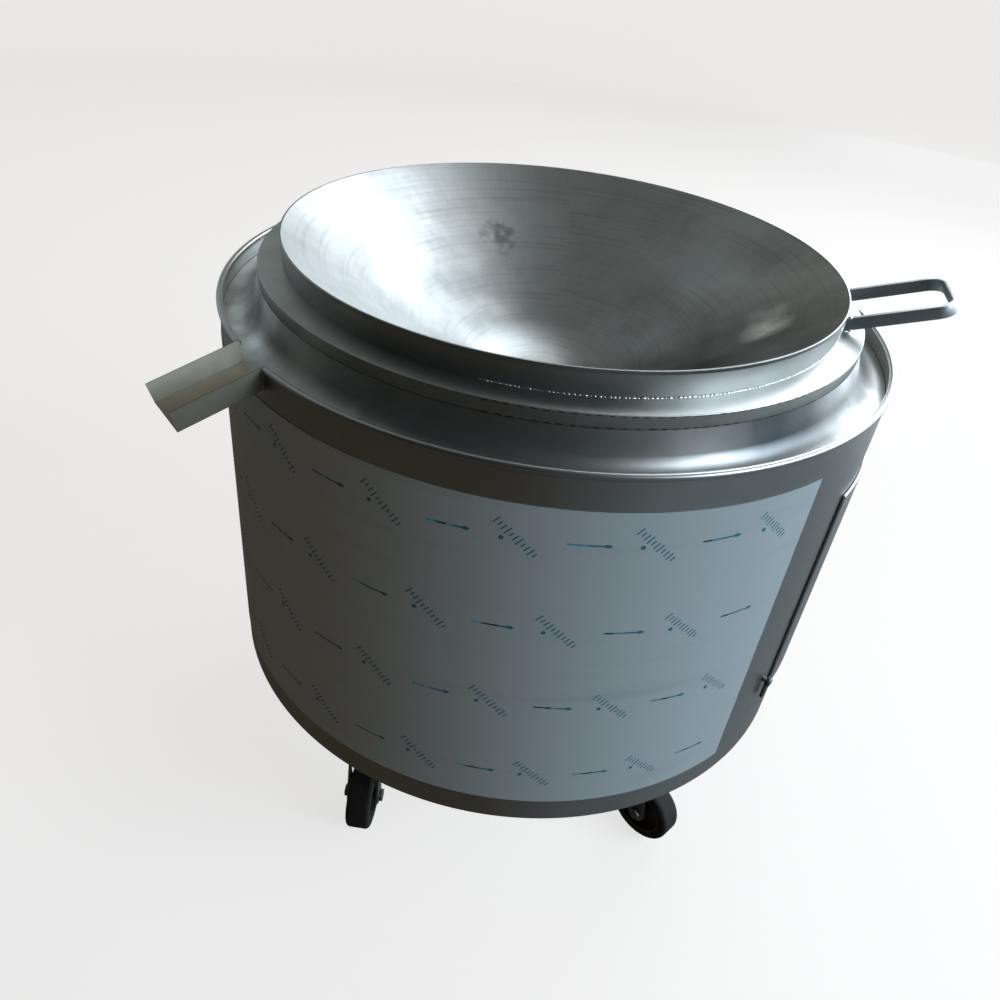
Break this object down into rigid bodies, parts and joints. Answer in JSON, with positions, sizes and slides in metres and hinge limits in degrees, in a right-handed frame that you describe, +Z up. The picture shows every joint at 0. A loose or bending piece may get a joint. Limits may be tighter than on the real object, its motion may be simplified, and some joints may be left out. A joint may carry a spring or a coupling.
{
  "type": "diesel burner stove",
  "caption": "Round steel diesel stove on swivel casters with a welded cooking bowl, an oil gutter and drain spout round it, a lifting handle and a hinged fire door.",
  "frame": {"origin": "on the drum's axis, in the plane of its flat underside", "axes": "+Z up along the drum's axis, -Y towards the filmed front side, +X towards the lifting handle and the fire door"},
  "size_m": [0.8412, 0.8968, 0.8508],
  "materials": {
    "drum_steel": "bright rolled stainless sheet",
    "polished_steel": "polished stainless sheet with tack welds",
    "bowl_steel": "spun and radially polished stainless",
    "spout_steel": "bent stainless sheet",
    "dark_steel": "mill finish bar, heat darkened",
    "zinc_steel": "zinc plated",
    "caster_steel": "worn zinc plate, soiled",
    "scaled_steel": "heat scaled",
    "cast_iron": "sand cast, sooty",
    "black_paint": "black brushed paint",
    "film": "blue-grey peel-off film with printed arrows",
    "blanket": "ceramic fibre blanket",
    "brass": "turned brass",
    "knob_plastic": "moulded phenolic",
    "hub_plastic": "moulded nylon",
    "rubber": "moulded rubber tread"
  },
  "bodies": {
    "stove": {"drum_shell": "drum_steel", "drum_floor": "zinc_steel", "base_ring": "black_paint", "protective_film": "film", "gutter_floor": "polished_steel", "gutter_inner_wall": "polished_steel", "collar_ring": "polished_steel", "bowl_band": "polished_steel", "bowl": "bowl_steel", "drain_spout": "spout_steel", "lifting_handle": "dark_steel", "fire_liner": "scaled_steel", "insulation_blanket": "blanket", "insulation_cover": "zinc_steel", "door_tunnel": "scaled_steel", "hinge_leaf_fixed_1": "zinc_steel", "hinge_leaf_fixed_2": "zinc_steel", "hinge_pin_1": "zinc_steel", "hinge_pin_2": "zinc_steel", "catch_stud": "zinc_steel", "burner_pedestal": "cast_iron", "burner_pot": "cast_iron", "flame_ring": "cast_iron", "flame_deflector": "cast_iron", "air_pipe": "zinc_steel", "fuel_pipe": "brass", "fuel_valve_body": "brass", "flue_stub": "zinc_steel", "leg_1": "black_paint", "leg_2": "black_paint", "leg_3": "black_paint", "leg_4": "black_paint", "caster_plate_1": "caster_steel", "caster_plate_2": "caster_steel", "caster_plate_3": "caster_steel", "caster_plate_4": "caster_steel"},
    "door": {"fire_door": "drum_steel", "hinge_leaf_door_1": "zinc_steel", "hinge_leaf_door_2": "zinc_steel"},
    "catch": {"door_catch": "black_paint"},
    "damper": {"damper_flap": "zinc_steel", "damper_lever": "black_paint"},
    "fuel_knob": {"fuel_valve_knob": "knob_plastic"},
    "fork_1": {"caster_fork_1": "caster_steel", "caster_axle_1": "caster_steel"},
    "fork_2": {"caster_fork_2": "caster_steel", "caster_axle_2": "caster_steel"},
    "fork_3": {"caster_fork_3": "caster_steel", "caster_axle_3": "caster_steel"},
    "fork_4": {"caster_fork_4": "caster_steel", "caster_axle_4": "caster_steel"},
    "wheel_1": {"caster_tyre_1": "rubber", "caster_hub_1": "hub_plastic"},
    "wheel_2": {"caster_tyre_2": "rubber", "caster_hub_2": "hub_plastic"},
    "wheel_3": {"caster_tyre_3": "rubber", "caster_hub_3": "hub_plastic"},
    "wheel_4": {"caster_tyre_4": "rubber", "caster_hub_4": "hub_plastic"}
  },
  "joints": [
    {"name": "door_swing", "type": "hinge", "parent": "stove", "child": "door", "pos_m": [0.38974, 0.11915, 0.252], "axis": [0, 0, 1], "range_deg": [0, 110]},
    {"name": "catch_turn", "type": "hinge", "parent": "stove", "child": "catch", "pos_m": [0.32443, -0.23398, 0.128], "axis": [0.8111, -0.585, 0], "range_deg": [0, 90]},
    {"name": "damper_turn", "type": "hinge", "parent": "stove", "child": "damper", "pos_m": [0, 0.438, 0.096], "axis": [0, 0, -1], "range_deg": [0, 90]},
    {"name": "fuel_knob_turn", "type": "hinge", "parent": "stove", "child": "fuel_knob", "pos_m": [-0.048, 0.451, 0.15], "axis": [0, 0, 1], "range_deg": [0, 540]},
    {"name": "swivel_1", "type": "hinge", "parent": "stove", "child": "fork_1", "pos_m": [-0.17742, -0.22304, -0.147], "axis": [0, 0, 1], "continuous": true},
    {"name": "swivel_2", "type": "hinge", "parent": "stove", "child": "fork_2", "pos_m": [0.22304, -0.17742, -0.147], "axis": [0, 0, 1], "continuous": true},
    {"name": "swivel_3", "type": "hinge", "parent": "stove", "child": "fork_3", "pos_m": [0.17742, 0.22304, -0.147], "axis": [0, 0, 1], "continuous": true},
    {"name": "swivel_4", "type": "hinge", "parent": "stove", "child": "fork_4", "pos_m": [-0.22304, 0.17742, -0.147], "axis": [0, 0, 1], "continuous": true},
    {"name": "roll_1", "type": "hinge", "parent": "fork_1", "child": "wheel_1", "pos_m": [-0.17742, -0.25104, -0.2125], "axis": [1, 0, 0], "continuous": true},
    {"name": "roll_2", "type": "hinge", "parent": "fork_2", "child": "wheel_2", "pos_m": [0.24449, -0.19542, -0.2125], "axis": [0.6428, 0.766, 0], "continuous": true},
    {"name": "roll_3", "type": "hinge", "parent": "fork_3", "child": "wheel_3", "pos_m": [0.16784, 0.24935, -0.2125], "axis": [-0.9397, -0.342, 0], "continuous": true},
    {"name": "roll_4", "type": "hinge", "parent": "fork_4", "child": "wheel_4", "pos_m": [-0.19879, 0.19142, -0.2125], "axis": [-0.5, 0.866, 0], "continuous": true}
  ]
}
